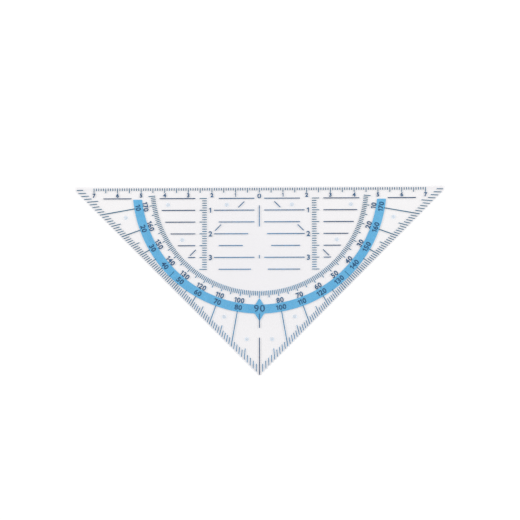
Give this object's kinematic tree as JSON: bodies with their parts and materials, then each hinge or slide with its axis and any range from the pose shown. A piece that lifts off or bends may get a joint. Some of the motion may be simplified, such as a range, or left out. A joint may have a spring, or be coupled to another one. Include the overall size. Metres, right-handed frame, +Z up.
{
  "type": "set square",
  "caption": "Thin clear plastic set square: a right-angled triangle with a printed protractor, centimetre and degree scales, parallel lines and small anti-slip nubs underneath.",
  "frame": {"origin": "the protractor's centre: the middle of the long drawing edge, in the plane of the paper that the nubs stand on", "axes": "+X along the drawing edge, +Y square out of the drawing edge and away from the right-angled corner, +Z up to the reading side"},
  "size_m": [0.1558, 0.0798, 0.0019],
  "materials": {
    "clear_plastic": "clear polished sheet",
    "clear_rubber": "clear soft dome",
    "light_blue_ink": "screen-printed ink",
    "dark_blue_ink": "screen-printed ink"
  },
  "bodies": {
    "root": {"clear_plate": "clear_plastic", "left_centre_nub": "clear_rubber", "right_centre_nub": "clear_rubber", "left_edge_nub": "clear_rubber", "right_edge_nub": "clear_rubber", "left_flank_nub": "clear_rubber", "right_flank_nub": "clear_rubber", "left_tip_nub": "clear_rubber", "right_tip_nub": "clear_rubber", "left_lower_nub": "clear_rubber", "right_lower_nub": "clear_rubber", "left_corner_nub": "clear_rubber", "right_corner_nub": "clear_rubber", "protractor_band": "light_blue_ink", "drawing_edge_scale": "dark_blue_ink", "right_leg_scale": "dark_blue_ink", "left_leg_scale": "dark_blue_ink", "inner_degree_ring": "dark_blue_ink", "parallel_lines": "dark_blue_ink", "right_height_scale": "dark_blue_ink", "left_height_scale": "dark_blue_ink", "centre_line": "dark_blue_ink", "diagonal_dashes": "dark_blue_ink"}
  },
  "joints": []
}
